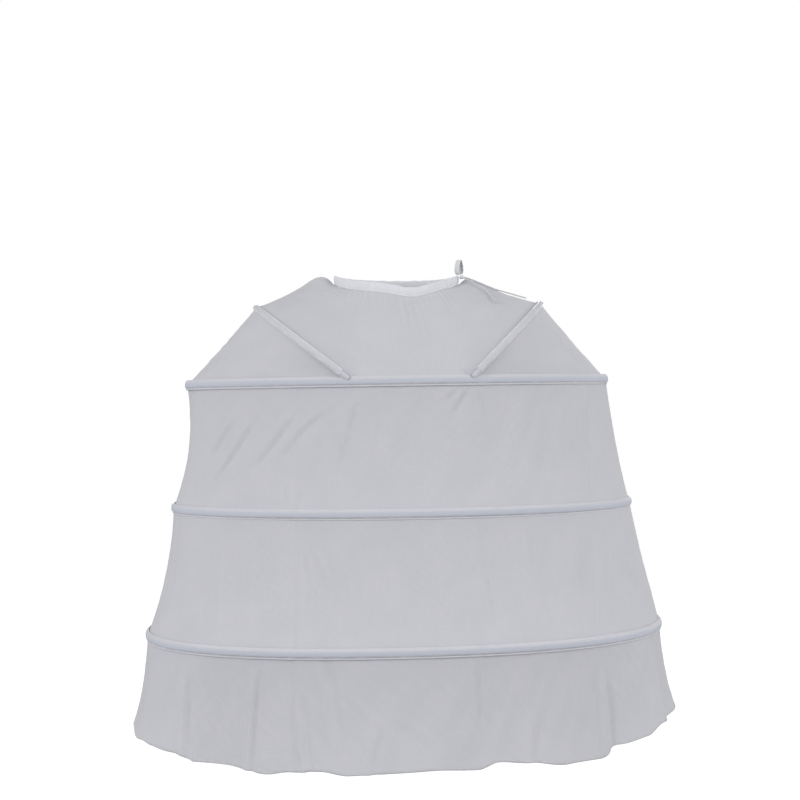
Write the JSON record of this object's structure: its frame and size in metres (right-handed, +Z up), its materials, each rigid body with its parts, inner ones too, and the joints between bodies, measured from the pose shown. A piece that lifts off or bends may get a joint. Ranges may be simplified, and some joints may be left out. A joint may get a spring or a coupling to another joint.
{
  "type": "crinoline cage petticoat",
  "caption": "Wide oval hoop petticoat of white cotton with hip arches, hoops in casings, gathered yokes, a flounce and a tied drawstring waist.",
  "frame": {"origin": "middle of the waist opening, level with the top of the waist casing at the sides", "axes": "+Z up, -Y towards the wearer's back, +X towards the wearer's right hip"},
  "size_m": [1.1656, 0.8659, 1.0215],
  "materials": {
    "cotton_cloth": "plain weave cotton, matte",
    "casing_cloth": "cotton casing strip, matte",
    "cotton_tape": "herringbone cotton tape, matte",
    "overlock_thread": "overlocked thread edge",
    "hoop_steel": "white nylon-coated spring steel",
    "joiner_metal": "crimped zinc-plated sleeve"
  },
  "bodies": {
    "root": {"arch_bone_left": "hoop_steel", "arch_bone_right": "hoop_steel", "arch_casing_left": "casing_cloth", "arch_casing_right": "casing_cloth", "back_yoke": "cotton_cloth", "cross_tape_1_left": "cotton_tape", "cross_tape_1_right": "cotton_tape", "cross_tape_2_left": "cotton_tape", "cross_tape_2_right": "cotton_tape", "cross_tape_3_left": "cotton_tape", "cross_tape_3_right": "cotton_tape", "drawstring": "cotton_tape", "flounce_back": "cotton_cloth", "flounce_front": "cotton_cloth", "flounce_left": "cotton_cloth", "flounce_right": "cotton_cloth", "front_yoke": "cotton_cloth", "gusset_left": "cotton_cloth", "gusset_right": "cotton_cloth", "hem_overlock": "overlock_thread", "hoop_bone_1": "hoop_steel", "hoop_bone_2": "hoop_steel", "hoop_bone_3": "hoop_steel", "hoop_casing_1": "casing_cloth", "hoop_casing_2": "casing_cloth", "hoop_casing_3": "casing_cloth", "hoop_joiner_1": "joiner_metal", "hoop_joiner_2": "joiner_metal", "hoop_joiner_3": "joiner_metal", "lower_band_back": "cotton_cloth", "lower_band_front": "cotton_cloth", "lower_band_left": "cotton_cloth", "lower_band_right": "cotton_cloth", "tie_bow": "cotton_tape", "tie_knot": "cotton_tape", "tie_tail_back": "cotton_tape", "tie_tail_side": "cotton_tape", "upper_band_back": "cotton_cloth", "upper_band_front": "cotton_cloth", "upper_band_left": "cotton_cloth", "upper_band_right": "cotton_cloth", "waist_casing_back": "casing_cloth", "waist_casing_front": "casing_cloth"}
  },
  "joints": []
}
